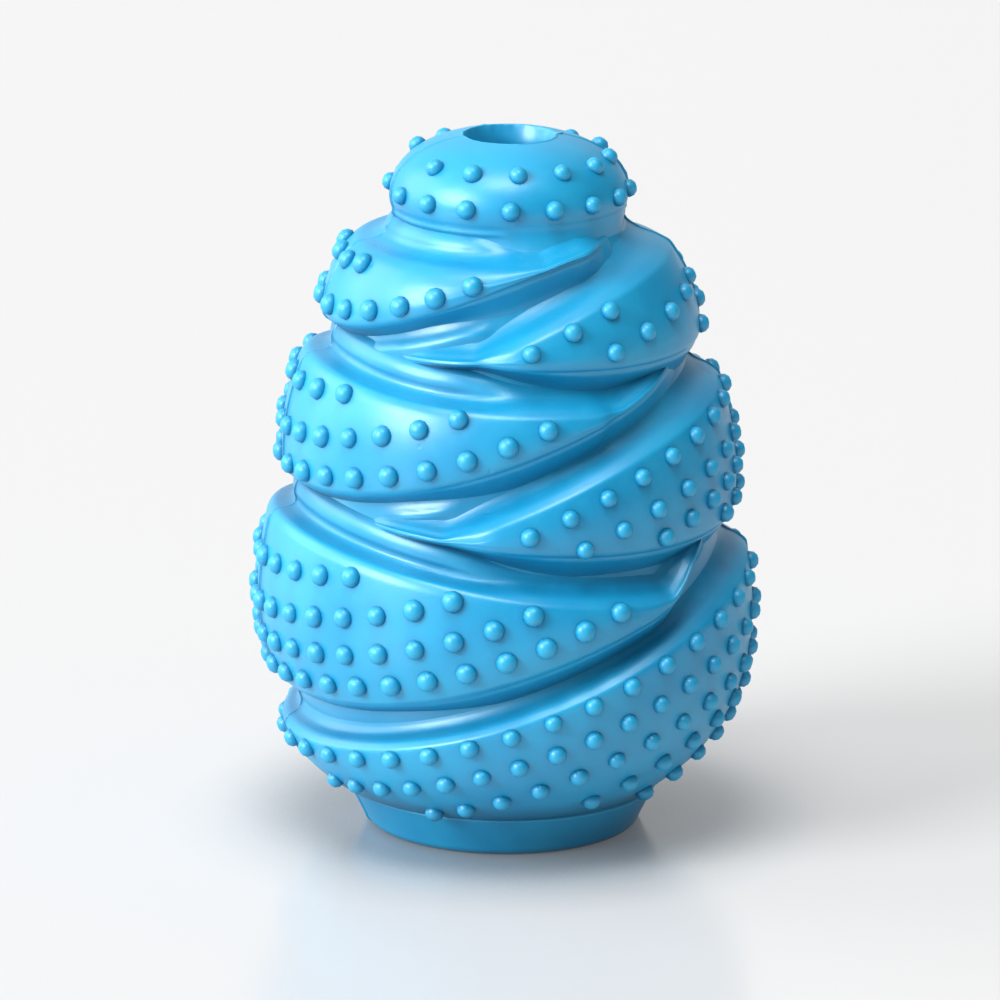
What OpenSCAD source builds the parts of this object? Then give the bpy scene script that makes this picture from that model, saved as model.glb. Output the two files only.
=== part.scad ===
// Rubber chew toy with a treat chamber, moulded in one piece in the shape of a beehive.
// Six crescent bands taper to points on alternate sides, and rounded nubs stand on them.
// The nodes are the regions of that one moulding, and each is bonded to its neighbour.
// The ground is at height zero, and the mould parts along the plane through X and Z.
// A band is wide on one side of that plane: left is along -X and right is along +X.

/* [Body] */
// Height from the ground to the rim of the top hole
height = 100; // [85:1:120]
// Width across the widest place, without nubs
belly_d = 70; // [60:1:84]
// Height of the plain foot below the lowest band
foot_h = 6; // [4:0.1:8]
// Height of the crown above the neck
crown_h = 11.8; // [10:0.1:14]
// Depth of the grooves between the bands
groove_depth = 4; // [3:0.1:4.6]
// Wall between the groove floors and the treat chamber
wall = 4.5; // [3:0.1:6]

/* [Crown] */
// Width of the crown across its lip
crown_d = 33.8; // [32:0.1:38]
// Width of the top hole at its rim
hole_d = 12.9; // [11.6:0.1:15]
// Width of the straight throat below the rim
throat_d = 11.2; // [8:0.1:11.4]
// Height of the cone between the rim and the throat
funnel_h = 2.4; // [1.5:0.1:3]
// Rubber above the chamber, in line with the throat
crown_t = 6.6; // [5.5:0.1:8]

/* [Foot] */
// Width of the foot where it meets the lowest band
foot_top_d = 44; // [42:0.1:46]
// Width of the foot on the ground
foot_base_d = 37; // [34:0.1:40]
// Rounding along the bottom edge of the foot
foot_edge = 1; // [0.5:0.1:1.5]
// Width of the filling hole in the base
base_hole_d = 26; // [18:0.1:28]
// Thickness of the chamber floor above the foot
floor_t = 4; // [3:0.1:5]

/* [Bands] */
// Height of the undercut below the crisp lower edge of a band
under_run = 2.6; // [1.8:0.1:2.8]
// Height of the hollow above the soft upper edge of a band
shelf_run = 1.3; // [0.8:0.1:1.8]
// Height of the rounding at a lower edge
lower_round = 0.9; // [0.5:0.1:1.4]
// Height of the rounding at an upper edge
upper_round = 1.5; // [0.8:0.1:2.2]
// Height of a band's blunt tip
tip_t = 0.8; // [0.5:0.1:1.4]
// Play that keeps the flat facets of a band's back off the round core
seat = 0.1; // [0.06:0.01:0.2]

/* [Nubs] */
// Width of a nub
nub_d = 2.7; // [2.2:0.1:3.2]
// Height of a nub above its band
nub_h = 1.3; // [1:0.05:1.5]
// Least height between the middle of a nub and an edge of its band
nub_margin = 1.1; // [0.9:0.1:2]
// Least gap between a nub and the plane that the mould parts along
nub_seam = 0.3; // [0.1:0.05:0.6]

/* [Hidden] */
rubber = [0.27, 0.69, 0.92];

// The egg that the bands lie on runs from the foot to the neck under the crown.
neck_z = height - crown_h;
span = neck_z - foot_h;
belly_share = 0.328;
belly_z = foot_h + belly_share * span;
// The two halves of the egg would close above the neck and below the foot.
egg_top_share = 1.083;
egg_bottom_share = -0.073;
egg_top = foot_h + egg_top_share * span;
egg_bottom = foot_h + egg_bottom_share * span;
// Powers that give the egg its fullness above and below the belly
egg_upper = [1.4, 0.3];
egg_lower = [2.4, 0.42];

// Radius of the egg, of the groove floor and of the chamber at a height
function fullness(t, powers) = pow(1 - pow(t, powers[0]), powers[1]);
function egg_r(z) = belly_d / 2 * (z > belly_z
    ? fullness((z - belly_z) / (egg_top - belly_z), egg_upper)
    : fullness((belly_z - z) / (belly_z - egg_bottom), egg_lower));
function floor_r(z) = egg_r(z) - groove_depth;
function chamber_r(z) = floor_r(z) - wall;
function mix(a, b, t) = a + (b - a) * t;
function at_share(share) = foot_h + share * span;

// The core is made in three lengths that meet face to face.
core_bottom = foot_h + floor_t;
core_parts = 3;
core_cuts = [for (i = [0 : core_parts]) mix(core_bottom, neck_z, i / core_parts)];
core_steps = 8;

// The crown is a dome on a lip, and the lip curves in to the neck.
lip_share = 0.2;
lip_z = neck_z + lip_share * crown_h;
crown_powers = [2.3, 0.4];
crown_rise_share = 1.04;
crown_steps = 14;
under_lip_share = 0.55;

// A band has the angle of its wide end and the angle from there to its tip.
// Its upper and lower edges pass through heights at the wide end, a quarter turn on and the tip.
RIGHT = 0;
LEFT = 180;
band_side = [LEFT, RIGHT, LEFT, RIGHT, LEFT, RIGHT];
band_tip = [130, 110, 112, 116, 124, 180];
upper_edge_shares = [
    [0.967, 0.971, 0.982], [0.960, 0.870, 0.820], [0.774, 0.743, 0.730],
    [0.728, 0.595, 0.523], [0.499, 0.428, 0.404], [0.423, 0.236, 0.124]];
lower_edge_shares = [
    [0.838, 0.932, 0.982], [0.798, 0.808, 0.820], [0.561, 0.668, 0.730],
    [0.495, 0.501, 0.523], [0.197, 0.302, 0.404], [0, 0, 0]];
BASE = 5;
ring_step = 5;
tip_turn = 5;
tip_lift = 0.06;

// Shape of a band's flanks: heights as shares of the run, standing as shares of the depth
under_shares = [[1, 0], [0.62, 0.2], [0.28, 0.56]];
lower_edge_stand_share = 0.86;
lower_round_stand_share = 0.98;
upper_round_stand_share = 0.98;
upper_edge_stand_share = 0.8;
shelf_shares = [[0.1, 0.42], [0.38, 0.14], [1, 0]];
face_shares = [0.25, 0.5, 0.75];
back_shares = [0.8, 0.6, 0.4, 0.2];
base_back_shares = [0.8, 0.6, 0.4, 0.28, 0.18, 0.11, 0.05, 0.02];
round_limit_share = 0.3;

// Rows of nubs follow the steep edge of their band: the lower one on the left, the upper one
// on the right. Each band has a list of rows. A row lies inside that edge by its inset, and
// farther by its drift at the tip. Its nubs stand a pitch apart along the surface.
nub_inset = [[8.6, 2], [0.6, 4.4, 9, 11.6], [13.9, 7.1, 2], [1.5, 7.1, 10.9, 15.5],
    [18.2, 11.6, 6.8, 2.6], [2, 7.9, 13.8, 17.2, 20.5]];
nub_drift = [[0, 2.4], [1.8, 4.4, 0, 0], [0.6, 3.4, 1.8], [2.8, 2.6, 4.6, 3.5],
    [2.6, 5.2, 3.5, 2], [0.1, -1.3, -2.4, 6.1, 24]];
nub_pitch = [[4.8, 5.5], [6.4, 6.3, 6.3, 6.3], [6.4, 5.8, 6], [6.1, 6.25, 5.65, 5.7],
    [5.8, 5.75, 5.8, 5.85], [6.2, 5.55, 5.75, 5.6, 4.5]];
// Angle of each row's first nub from the middle of the wide end, and the nubs in half the row
nub_start = [[7, 7.4], [66, 11.7, 3.8, 12.5], [5.9, 3.9, 6.7], [8.5, 4.9, 9, 10],
    [2.9, 1.6, 2.8, 4.5], [10.4, 7.7, 5.4, 7.6, 9.7]];
nub_count = [[3, 6], [3, 5, 1, 1], [3, 7, 9], [9, 8, 6, 3], [5, 8, 10, 12], [17, 17, 13, 9, 6]];
// Crown rows by height, and by the angles of the first nub and from nub to nub
crown_row_shares = [0.748, 0.371];
crown_row_start = [15.2, 13.1];
crown_row_turn = [26.5, 21.5];
crown_row_count = [6, 8];
$fn = 96;
nub_fn = 24;

// Height of an edge where the turn from the wide end has the cosine c
function edge_z(shares, c, ct) =
    let (rise = shares[0] - shares[1], fall = shares[2] - shares[1])
    let (bend = (fall - ct * rise) / (ct * ct - ct))
    at_share(shares[1] + (rise - bend) * c + bend * c * c);
function lower_z(b, turn) = edge_z(lower_edge_shares[b], cos(turn), cos(band_tip[b]));
function upper_z(b, turn) =
    max(edge_z(upper_edge_shares[b], cos(turn), cos(band_tip[b])), lower_z(b, turn) + tip_t);

// A point of a band's section stands on its back by a share of the band's thickness.
function back_r(z) = floor_r(z) + seat;
function stand(z, share) = [mix(back_r(z), egg_r(z), share), z];
function flank(b, z) = b == BASE ? [stand(z, 0)]
    : [for (s = under_shares) stand(z - s[0] * under_run, s[1])];
function section(b, zl, zu) =
    let (room = round_limit_share * (zu - zl))
    let (low = zl + min(lower_round, room), high = zu - min(upper_round, room))
    let (foot = b == BASE ? zl : zl - under_run)
    concat(
        flank(b, zl),
        [stand(zl, lower_edge_stand_share), stand(low, lower_round_stand_share)],
        [for (s = face_shares) stand(mix(low, high, s), 1)],
        [stand(high, upper_round_stand_share), stand(zu, upper_edge_stand_share)],
        [for (s = shelf_shares) stand(zu + s[0] * shelf_run, s[1])],
        [for (s = b == BASE ? base_back_shares : back_shares)
            stand(mix(foot, zu + shelf_run, s), 0)]);

// Towards a tip the section sinks to its back.
function lift(b, turn) = b == BASE ? 1
    : max(tip_lift, sin(90 * min(1, (band_tip[b] - abs(turn)) / tip_turn)));
function sunk(p, share) = [mix(back_r(p[1]), p[0], share), p[1]];
function ring(b, turn) =
    let (angle = band_side[b] + turn, share = lift(b, turn))
    [for (p = section(b, lower_z(b, turn), upper_z(b, turn)))
        let (q = sunk(p, share)) [q[0] * cos(angle), q[0] * sin(angle), q[1]]];

// Body swept through rings of points, closed to itself or capped at both ends
module swept(rings, closed) {
    n = len(rings[0]);
    m = len(rings);
    points = [for (r = rings, p = r) p];
    sides = [for (i = [0 : m - (closed ? 1 : 2)], j = [0 : n - 1], half = [0, 1])
        let (a = i * n + j, b = i * n + (j + 1) % n)
        let (c = (i + 1) % m * n + j, d = (i + 1) % m * n + (j + 1) % n)
        half == 0 ? [a, b, c] : [b, d, c]];
    caps = closed ? [] : [for (j = [1 : n - 2], end = [0, 1])
        let (k = end * (m - 1) * n)
        end == 0 ? [k, k + j + 1, k + j] : [k, k + j, k + j + 1]];
    polyhedron(points, concat(sides, caps), convexity = 6);
}

module band(b) {
    tip = band_tip[b];
    closed = tip == 180;
    steps = ceil(2 * tip / ring_step);
    turns = [for (i = [0 : steps - (closed ? 1 : 0)]) mix(-tip, tip, i / steps)];
    near_tips = closed ? [] : [for (s = [0.1, 0.35], side = [-1, 1]) side * (tip - s * tip_turn)];
    color(rubber)
        swept([for (t = sorted(concat(turns, near_tips))) ring(b, t)], closed);
}

function sorted(list) = len(list) < 2 ? list
    : let (pivot = list[floor(len(list) / 2)])
    concat(sorted([for (v = list) if (v < pivot) v]), [for (v = list) if (v == pivot) v],
        sorted([for (v = list) if (v > pivot) v]));

// Half of a row, walked in even steps along the surface
function rises(b) = band_side[b] == LEFT;
function row_z(b, k, turn) =
    let (away = nub_inset[b][k] + nub_drift[b][k] * turn / band_tip[b])
    rises(b) ? lower_z(b, turn) + away : upper_z(b, turn) - away;
function arc_r(z) = egg_r(min(max(z, foot_h), neck_z));
function step_angle(b, k, turn) =
    let (z = row_z(b, k, turn), climb = row_z(b, k, turn + 1) - z)
    let (arc = arc_r(z) * PI / 180)
    nub_pitch[b][k] / sqrt(arc * arc + climb * climb);
function first_turn(b, k) =
    max(nub_start[b][k], asin((nub_d / 2 + nub_seam) / arc_r(row_z(b, k, nub_start[b][k]))));
function walk(b, k, turn, left) = left == 0 || turn > band_tip[b] ? []
    : concat([turn], walk(b, k, turn + step_angle(b, k, turn), left - 1));
function fits(b, z, turn) = z > lower_z(b, turn) + nub_margin && z < upper_z(b, turn) - nub_margin;

// Dome on the outside at a height, square to a surface that has that radius function's slope
module nub_at(angle, r, z, slope) {
    ball_r = (nub_d * nub_d / 4 + nub_h * nub_h) / (2 * nub_h);
    rotate([0, 0, angle])
        translate([r, 0, z])
            rotate([0, 90 + atan(slope), 0])
                rotate_extrude($fn = nub_fn)
                    intersection() {
                        translate([0, nub_h - ball_r])
                            circle(ball_r);
                        square([ball_r, nub_h]);
                    }
}

probe_share = 0.002;
function egg_slope(z) =
    let (d = probe_share * height) (egg_r(z + d) - egg_r(z - d)) / (2 * d);

module band_nubs(b) {
    color(rubber)
        for (k = [0 : len(nub_start[b]) - 1])
            for (turn = walk(b, k, first_turn(b, k), nub_count[b][k]), half = [-1, 1]) {
                z = row_z(b, k, turn);
                if (fits(b, z, turn))
                    nub_at(band_side[b] + half * turn, egg_r(z), z, egg_slope(z));
            }
}

// Wall of revolution between the groove floor and the chamber
module core_length(i) {
    zs = [for (s = [0 : core_steps]) mix(core_cuts[i], core_cuts[i + 1], s / core_steps)];
    color(rubber)
        rotate_extrude()
            polygon(concat([for (z = zs) [floor_r(z), z]],
                [for (s = [core_steps : -1 : 0]) [chamber_r(zs[s]), zs[s]]]));
}

function crown_r(z) = crown_d / 2
    * fullness((z - lip_z) / (crown_rise_share * (height - lip_z)), crown_powers);

module foot_ring() {
    color(rubber)
        rotate_extrude()
            polygon([[base_hole_d / 2, 0], [foot_base_d / 2, 0],
                for (a = [30 : 30 : 90])
                    [foot_base_d / 2 + foot_edge * sin(a), foot_edge * (1 - cos(a))],
                [foot_top_d / 2, foot_h], [base_hole_d / 2, foot_h]]);
}

module chamber_floor() {
    color(rubber)
        rotate_extrude()
            polygon([[base_hole_d / 2, foot_h], [floor_r(foot_h), foot_h],
                [floor_r(mix(foot_h, core_bottom, 0.5)), mix(foot_h, core_bottom, 0.5)],
                [floor_r(core_bottom), core_bottom], [base_hole_d / 2, core_bottom]]);
}

module core_lower() core_length(0);
module core_middle() core_length(1);
module core_upper() core_length(2);

module crown() {
    neck_r = floor_r(neck_z);
    lip_r = crown_d / 2;
    throat_bottom = height - crown_t;
    color(rubber)
        rotate_extrude()
            polygon(concat(
                [[neck_r, neck_z]],
                [for (a = [30 : 20 : 70])
                    [mix(neck_r, lip_r, 1 - cos(a)), mix(neck_z, lip_z, under_lip_share * sin(a))]],
                [for (s = [0 : crown_steps - 1])
                    let (z = mix(lip_z, height, sin(90 * s / crown_steps)))
                    [max(crown_r(z), hole_d / 2), z]],
                [[hole_d / 2, height], [throat_d / 2, height - funnel_h]],
                [for (a = [90 : -15 : 0])
                    [mix(throat_d / 2, chamber_r(neck_z), cos(a)),
                        mix(neck_z, throat_bottom, sin(a))]]));
}

module upper_left_band() band(0);
module upper_right_band() band(1);
module middle_left_band() band(2);
module middle_right_band() band(3);
module lower_left_band() band(4);
module base_band() band(5);

module crown_nubs() {
    color(rubber)
        for (k = [0, 1], i = [0 : crown_row_count[k] - 1], half = [-1, 1]) {
            z = neck_z + crown_row_shares[k] * crown_h;
            d = probe_share * height;
            slope = (crown_r(z + d) - crown_r(z - d)) / (2 * d);
            nub_at(half * (crown_row_start[k] + i * crown_row_turn[k]), crown_r(z), z, slope);
        }
}

module upper_left_nubs() band_nubs(0);
module upper_right_nubs() band_nubs(1);
module middle_left_nubs() band_nubs(2);
module middle_right_nubs() band_nubs(3);
module lower_left_nubs() band_nubs(4);
module base_nubs() band_nubs(5);

foot_ring();
chamber_floor();
core_lower();
core_middle();
core_upper();
crown();
upper_left_band();
upper_right_band();
middle_left_band();
middle_right_band();
lower_left_band();
base_band();
crown_nubs();
upper_left_nubs();
upper_right_nubs();
middle_left_nubs();
middle_right_nubs();
lower_left_nubs();
base_nubs();
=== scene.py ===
# %% [markdown]
# This scene dresses a rubber chew toy that is moulded in one piece: a hollow egg with a crown,
# six crescent bands, rounded nubs and a plain foot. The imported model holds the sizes. Here each
# region of the moulding gets the smooth flanks, soft ridges and mould marks of real rubber.
# We work in metres, and a size in millimetres is written as a number times MM.

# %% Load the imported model
import math

import bmesh
import bpy
import numpy as np
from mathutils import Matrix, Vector


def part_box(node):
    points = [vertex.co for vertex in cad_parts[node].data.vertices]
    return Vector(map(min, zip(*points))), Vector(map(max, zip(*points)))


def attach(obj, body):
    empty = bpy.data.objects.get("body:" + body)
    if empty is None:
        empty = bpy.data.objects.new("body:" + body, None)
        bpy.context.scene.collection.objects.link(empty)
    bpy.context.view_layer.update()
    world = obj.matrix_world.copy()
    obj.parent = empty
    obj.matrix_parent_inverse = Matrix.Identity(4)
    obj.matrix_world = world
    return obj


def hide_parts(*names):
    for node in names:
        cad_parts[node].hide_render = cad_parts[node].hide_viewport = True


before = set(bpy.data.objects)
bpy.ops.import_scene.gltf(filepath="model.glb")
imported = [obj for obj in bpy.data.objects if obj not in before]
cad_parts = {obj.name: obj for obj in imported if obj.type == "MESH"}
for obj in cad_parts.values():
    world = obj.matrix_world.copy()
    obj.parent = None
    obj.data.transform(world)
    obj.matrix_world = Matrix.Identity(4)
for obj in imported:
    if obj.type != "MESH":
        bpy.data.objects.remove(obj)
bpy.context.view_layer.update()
MM = 0.001

# %% [markdown]
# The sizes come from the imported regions, so that this file and the model agree. The crown gives
# the height and the neck, the foot gives the lowest band's edge, and the widest band the belly.

# %% Read the driving sizes from the regions
CROWN_LOW, CROWN_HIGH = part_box("crown")
FOOT_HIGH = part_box("foot_ring")[1]
FLOOR_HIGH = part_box("chamber_floor")[1]
HEIGHT = CROWN_HIGH[2]
NECK_Z = CROWN_LOW[2]
FOOT_H = FOOT_HIGH[2]
SPAN = NECK_Z - FOOT_H
BELLY_R = max(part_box("lower_left_band")[1][1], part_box("base_band")[1][1])
LIP_R = CROWN_HIGH[0]
FOOT_TOP_R = FOOT_HIGH[0]
GROOVE_DEPTH = 4.0 * MM
WALL = 4.5 * MM
HOLE_R = 6.45 * MM
THROAT_R = 5.6 * MM
FUNNEL_H = 2.4 * MM
CROWN_T = 6.6 * MM
FOOT_BASE_R = 18.5 * MM
BASE_HOLE_R = 13.0 * MM
print("height", round(HEIGHT, 4), "belly radius", round(BELLY_R, 4))

# %% [markdown]
# The camera is a long lens some way off, a little above the toy and a little to its left, so
# that the mould's parting line shows on the left edge. A long lens keeps the ellipses flat. The
# shift puts the toy a few pixels right of the middle, as it stands in the picture.

# %% Place the camera
CAM_TURN = math.radians(-10.0)
CAM_RISE = math.radians(14.7)
CAM_ROLL = math.radians(0.6)
CAM_FAR = 1.3
AIM = Vector((0, 0, 0.05))
PIXELS = 1000
PIXELS_PER_M = 7060
AIM_PIXEL = (506, 478.5)

cam_data = bpy.data.cameras.new("camera")
cam = bpy.data.objects.new("camera", cam_data)
bpy.context.collection.objects.link(cam)
back = Vector((math.sin(CAM_TURN) * math.cos(CAM_RISE),
               -math.cos(CAM_TURN) * math.cos(CAM_RISE), math.sin(CAM_RISE)))
cam.location = AIM + back * CAM_FAR
look = back.to_track_quat("Z", "Y").to_matrix().to_4x4()
cam.rotation_euler = look.to_euler()
cam.rotation_euler.rotate_axis("Z", CAM_ROLL)
cam_data.sensor_width = 36.0
cam_data.lens = cam_data.sensor_width * PIXELS_PER_M * CAM_FAR / PIXELS
cam_data.shift_x = -(AIM_PIXEL[0] - PIXELS / 2) / PIXELS
cam_data.shift_y = (AIM_PIXEL[1] - PIXELS / 2) / PIXELS
cam_data.clip_end = 20
bpy.context.scene.camera = cam
print("lens", round(cam_data.lens, 1))

# %% [markdown]
# A plain pale floor reaches far behind the toy, so the long lens sees nothing else. It takes the
# toy's soft shadow and a faint reflection, and melts into the pale world.

# %% Make a mesh helper and the floor
FLOOR_HALF = 4.0


def new_mesh(name, points, faces):
    """Make a smooth mesh object at the origin from points in metres."""
    mesh = bpy.data.meshes.new(name)
    mesh.from_pydata([tuple(float(v) for v in p) for p in points], [], faces)
    mesh.update()
    mesh.shade_smooth()
    obj = bpy.data.objects.new(name, mesh)
    bpy.context.collection.objects.link(obj)
    return obj


corners = [(x * FLOOR_HALF, y * FLOOR_HALF, 0) for x, y in ((-1, -1), (1, -1), (1, 1), (-1, 1))]
floor = new_mesh("floor", corners, [(0, 1, 2, 3)])
print("floor", FLOOR_HALF * 2, "m wide")

# %% [markdown]
# The light is three soft lamps. The key stands low on the left: it lights the nubs on their left
# halves and leaves the right side of the toy in a deeper, purer blue. A weaker one stands behind
# it and lights the left edge. One overhead draws the bright line along each crest.

# %% Set the lamps
# Each lamp: turn about the toy, rise above the floor and width of the soft disc in degrees, level
LAMPS = {
    "key": (-158, 27, 30, 2.8),
    "rim": (152, 22, 45, 1.1),
    "top": (-115, 72, 28, 1.5),
}
LAMP_FAR = 2.0


def add_sun(name, turn, rise, wide, level):
    """A soft sun. Its place only shows where it shines from."""
    data = bpy.data.lights.new(name, "SUN")
    data.energy = level
    data.angle = math.radians(wide)
    turn, rise = math.radians(turn), math.radians(rise)
    lamp = bpy.data.objects.new(name, data)
    bpy.context.collection.objects.link(lamp)
    way = Vector((math.cos(rise) * math.cos(turn), math.cos(rise) * math.sin(turn), math.sin(rise)))
    lamp.location = way * LAMP_FAR
    lamp.rotation_euler = way.to_track_quat("Z", "Y").to_euler()
    print(name, "at", [round(v, 2) for v in lamp.location])


for name, values in LAMPS.items():
    add_sun(name, *values)
bpy.context.scene.view_settings.view_transform = "Standard"

# %% [markdown]
# Shader maths reads better as sums than as a list of nodes. The class Link wraps one output
# socket, and each operator on it adds a Math node. The class Paint wraps a material and makes
# every other node: its settings are set first, then its sockets take values or links.

# %% Wrap sockets so that sums make nodes
class Link:
    """One output socket in a node tree. Sums on it add Math nodes."""

    def __init__(self, paint, socket):
        self.paint = paint
        self.socket = socket

    def maths(self, operation, *values):
        return self.paint.node("ShaderNodeMath", {"operation": operation}, *values)

    def __add__(self, other):
        return self.maths("ADD", self, other)

    def __radd__(self, other):
        return self.maths("ADD", other, self)

    def __sub__(self, other):
        return self.maths("SUBTRACT", self, other)

    def __rsub__(self, other):
        return self.maths("SUBTRACT", other, self)

    def __mul__(self, other):
        return self.maths("MULTIPLY", self, other)

    def __rmul__(self, other):
        return self.maths("MULTIPLY", other, self)

    def step_up(self, low, high):
        """Smooth rise from 0 at low to 1 at high."""
        settings = {"interpolation_type": "SMOOTHSTEP"}
        values = {"Value": self, "From Min": low, "From Max": high}
        return self.paint.node("ShaderNodeMapRange", settings, **values)


class Paint:
    """The node tree of a new material, or of the world."""

    def __init__(self, name, kind="materials"):
        self.material = getattr(bpy.data, kind).new(name)
        self.material.use_nodes = True
        self.tree = self.material.node_tree
        self.tree.nodes.clear()

    def node(self, kind, settings, *places, out=0, **named):
        """Add a node, set it up, and wrap its first output, or the one that out names."""
        made = self.tree.nodes.new(kind)
        for key, value in settings.items():
            setattr(made, key, value)
        rows = [(made.inputs[i], v) for i, v in enumerate(places)]
        rows += [(made.inputs[key.replace("_", " ")], v) for key, v in named.items()]
        for socket, value in rows:
            if isinstance(value, Link):
                self.tree.links.new(value.socket, socket)
            else:
                socket.default_value = value
        return Link(self, made.outputs[out]) if made.outputs else None

    def rays(self):
        """Three links, each 1 for its kind of ray: from the camera, off a gloss, through glass."""
        path = self.node("ShaderNodeLightPath", {}).socket.node
        kinds = ("Is Camera Ray", "Is Glossy Ray", "Is Transmission Ray")
        return [Link(self, path.outputs[kind]) for kind in kinds]

    def noise(self, place, scale, detail=2.0, rough=0.5):
        values = {"Vector": place, "Scale": scale, "Detail": detail, "Roughness": rough}
        return self.node("ShaderNodeTexNoise", {}, **values)

    def blend(self, mask, first, second):
        """Mix two colours."""
        made = self.tree.nodes.new("ShaderNodeMix")
        made.data_type = "RGBA"
        for i, value in zip((0, 6, 7), (mask, first, second)):
            socket = made.inputs[i]
            if isinstance(value, Link):
                self.tree.links.new(value.socket, socket)
            else:
                socket.default_value = value
        return Link(self, made.outputs[2])


print("shader helpers ready")

# %% [markdown]
# The rubber is one satin sky blue. Moulded rubber is never quite even: broad soft clouds of
# lighter and deeper blue, fine grain from the mould and a few pits. The nubs are painted paler
# all over, a painted sheen. In nooks and creases the blue is painted far darker, a painted shade.
# All of it is read from Object coordinates in metres, and the relief is in metres too.

# %% Make the rubber
RUBBER_BLUE = (0.001, 0.360, 0.680, 1)
RUBBER_PALE = (0.008, 0.440, 0.760, 1)
RUBBER_DEEP = (0.0, 0.310, 0.620, 1)
# The colour of the painted shade in nooks and creases
RUBBER_PAINTED_SHADE = (0.0, 0.05, 0.13, 1)
CLOUD_SHARE = 0.55
MOTTLE_SHARE = 0.22
PAINTED_SHADE_REACH = 10.0 * MM
PAINTED_SHADE_RANGE = (0.3, 0.92)
PAINTED_SHADE_SHARE = 0.92
# How many noise cells, or pits, fit in a metre
CLOUD_SCALE = 55.0
MOTTLE_SCALE = 420.0
GRAIN_SCALE = 3200.0
PIT_SCALE = 170.0
PIT_PATCH_SCALE = 38.0
SATIN = 0.37
CLOUD_SHINE = 0.10
MOTTLE_SHINE = 0.12
MOTTLE_RELIEF = 1.6
GLOSS = 0.9
GLOSS_TINT = (0.72, 0.9, 1.0, 1)
RUBBER_IOR = 1.6


def make_rubber(name, pale_share, grain, pits, rough, painted_shade_share):
    """Satin rubber: pale_share lightens it, grain and pits set the relief in metres."""
    p = Paint(name)
    place = p.node("ShaderNodeTexCoord", {}, out="Object")
    cloud = p.noise(place, CLOUD_SCALE, 3.0, 0.55)
    mottle = p.noise(place, MOTTLE_SCALE, 3.0, 0.6)
    tint = p.blend(cloud.step_up(0.35, 0.68), RUBBER_DEEP, RUBBER_PALE)
    colour = p.blend(CLOUD_SHARE, RUBBER_BLUE, tint)
    lighter = mottle.step_up(0.52, 0.75) * MOTTLE_SHARE + pale_share
    colour = p.blend(lighter, colour, RUBBER_PALE)
    # Ambient occlusion drives a painted shade: the colour goes dark in nooks and creases
    nook_shade = p.node("ShaderNodeAmbientOcclusion", {"samples": 4}, Distance=PAINTED_SHADE_REACH, out="AO")
    colour = p.blend((1 - nook_shade.step_up(*PAINTED_SHADE_RANGE)) * painted_shade_share, colour, RUBBER_PAINTED_SHADE)
    fine = p.noise(place, GRAIN_SCALE, 2.0, 0.5)
    spots = p.node("ShaderNodeTexVoronoi", {"feature": "F1"}, Vector=place, Scale=PIT_SCALE)
    holes = 1 - spots.step_up(0.02, 0.085)
    chosen = p.noise(place, PIT_PATCH_SCALE, 1.0).step_up(0.56, 0.62)
    height = fine * grain + mottle * (grain * MOTTLE_RELIEF) - holes * chosen * pits
    bump = p.node("ShaderNodeBump", {}, Strength=1.0, Distance=1.0, Height=height)
    shine = rough + (cloud - 0.5) * CLOUD_SHINE + (mottle - 0.5) * MOTTLE_SHINE
    surface = p.node(
        "ShaderNodeBsdfPrincipled", {}, Base_Color=colour, Roughness=shine, Normal=bump,
        Specular_IOR_Level=GLOSS, IOR=RUBBER_IOR, Specular_Tint=GLOSS_TINT)
    p.node("ShaderNodeOutputMaterial", {}, Surface=surface)
    return p.material


# Each rubber: paler share, grain and pits in millimetres, roughness, share of the painted shade in
# nooks
RUBBERS = {
    "band_rubber": (0.02, 0.012, 0.07, SATIN, PAINTED_SHADE_SHARE),
    "groove_rubber": (0.0, 0.008, 0.03, SATIN - 0.04, PAINTED_SHADE_SHARE),
    "foot_rubber": (0.0, 0.008, 0.03, SATIN, 0.2),
    "crown_rubber": (0.03, 0.012, 0.05, SATIN, 0.8 * PAINTED_SHADE_SHARE),
    # The nubs are painted paler all over, a painted sheen
    "nub_rubber": (0.45, 0.03, 0.06, SATIN + 0.05, 0.7 * PAINTED_SHADE_SHARE),
}
rubbers = {}
for name, (pale, grain, pits, rough, nook_shade) in RUBBERS.items():
    rubbers[name] = make_rubber(name, pale, grain * MM, pits * MM, rough, nook_shade)
print("rubbers", len(rubbers))

# %% [markdown]
# The floor is smooth pale paper with a slight gloss. Close to the foot its colour is painted
# darker, a painted contact shadow, and the camera sees it lifted towards white.

# %% Paint the floor
FLOOR_PALE = (0.62, 0.62, 0.62, 1)
FLOOR_GLOW = 0.08
FLOOR_ROUGH = 0.2
TOUCH_REACH = 22.0 * MM
TOUCH_SHARE = 0.8
TOUCH_SHADE = (0.10, 0.16, 0.20, 1)


def make_paper(name):
    """Pale paper. The camera and reflections see it lifted towards white by its glow."""
    p = Paint(name)
    camera, gloss, through = p.rays()
    seen = p.node("ShaderNodeMath", {"operation": "MINIMUM"}, camera + gloss + through, 1.0)
    near = p.node("ShaderNodeAmbientOcclusion", {"samples": 6}, Distance=TOUCH_REACH, out="AO")
    # Darker near the foot: a painted contact shadow
    colour = p.blend((1 - near.step_up(0.2, 1.0)) * TOUCH_SHARE, FLOOR_PALE, TOUCH_SHADE)
    sheet = p.node("ShaderNodeBsdfPrincipled", {}, Base_Color=colour, Roughness=FLOOR_ROUGH)
    light = p.node("ShaderNodeEmission", {}, Color=(1, 1, 1, 1), Strength=seen * FLOOR_GLOW)
    surface = p.node("ShaderNodeAddShader", {}, sheet, light)
    p.node("ShaderNodeOutputMaterial", {}, Surface=surface)
    return p.material


floor.data.materials.append(make_paper("floor_paper"))
print("floor painted")

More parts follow.
